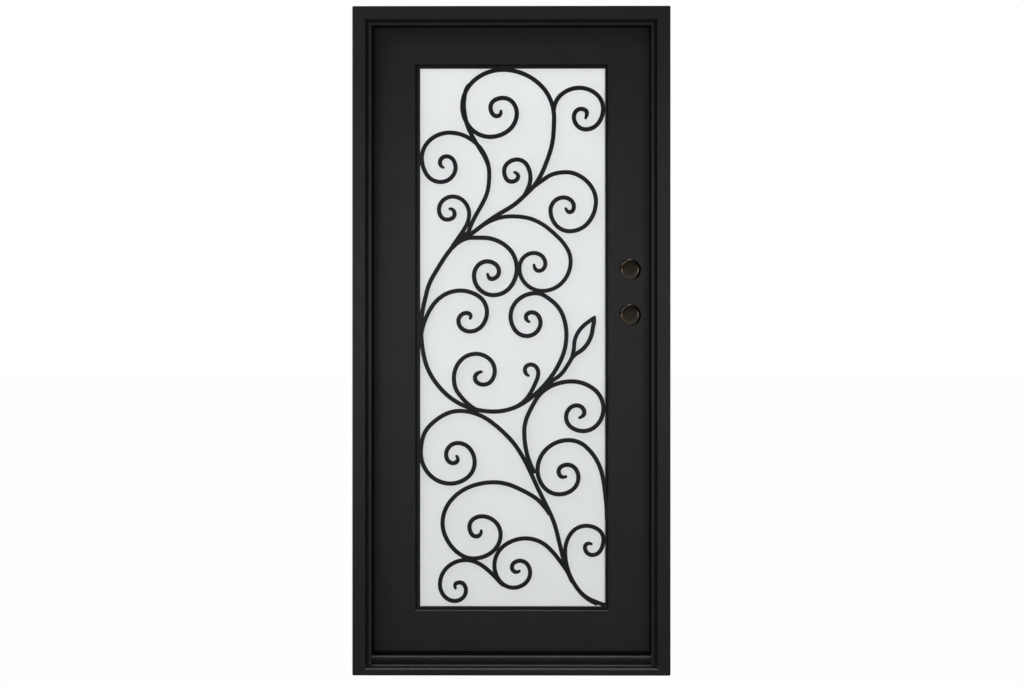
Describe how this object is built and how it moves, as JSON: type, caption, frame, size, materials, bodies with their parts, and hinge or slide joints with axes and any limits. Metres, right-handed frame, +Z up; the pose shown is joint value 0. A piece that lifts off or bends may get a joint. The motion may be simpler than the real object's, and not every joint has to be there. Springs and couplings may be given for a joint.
{
  "type": "wrought iron entry door",
  "caption": "Black steel entry door in its frame, with welded bar scrolls over a tall frosted glass light, a stepped threshold and one inward-opening leaf.",
  "frame": {"origin": "on the floor, in the middle of the frame's width and depth, on the underside of the threshold", "axes": "+X to the right as seen from outside, +Y inwards through the door, +Z up"},
  "size_m": [0.978, 0.1354, 2.0574],
  "materials": {
    "powder_coated_steel": "satin black powder coat",
    "grille_bar": "satin black powder coat",
    "frosted_glass": "frosted",
    "rubber_seal": "matte",
    "cover_cap": "oil-rubbed bronze, satin",
    "hinge": "satin black"
  },
  "bodies": {
    "frame": {"head_jamb": "powder_coated_steel", "hinge_jamb": "powder_coated_steel", "hinge_lower_frame": "hinge", "hinge_middle_frame": "hinge", "hinge_upper_frame": "hinge", "seal_head": "rubber_seal", "seal_hinge_side": "rubber_seal", "seal_sill": "rubber_seal", "seal_strike_side": "rubber_seal", "strike_jamb": "powder_coated_steel", "threshold": "powder_coated_steel"},
    "door_leaf": {"bottom_rail": "powder_coated_steel", "door_sweep": "rubber_seal", "glass_pane": "frosted_glass", "glazing_bead_bottom": "powder_coated_steel", "glazing_bead_left": "powder_coated_steel", "glazing_bead_right": "powder_coated_steel", "glazing_bead_top": "powder_coated_steel", "grille_border": "grille_bar", "hinge_lower_leaf": "hinge", "hinge_middle_leaf": "hinge", "hinge_stile": "powder_coated_steel", "hinge_upper_leaf": "hinge", "leaf_bud": "grille_bar", "lock_bore_caps_inside": "cover_cap", "lock_bore_caps_outside": "cover_cap", "lock_stile": "powder_coated_steel", "scrolls_bottom": "grille_bar", "scrolls_lower_left": "grille_bar", "scrolls_lower_right": "grille_bar", "scrolls_middle": "grille_bar", "scrolls_top_left": "grille_bar", "scrolls_top_right": "grille_bar", "scrolls_upper_middle": "grille_bar", "top_rail": "powder_coated_steel"}
  },
  "joints": [
    {"name": "door_swing", "type": "hinge", "parent": "frame", "child": "door_leaf", "pos_m": [-0.43745, 0.06845, 0], "axis": [0, 0, 1], "range_deg": [0, 110]}
  ]
}
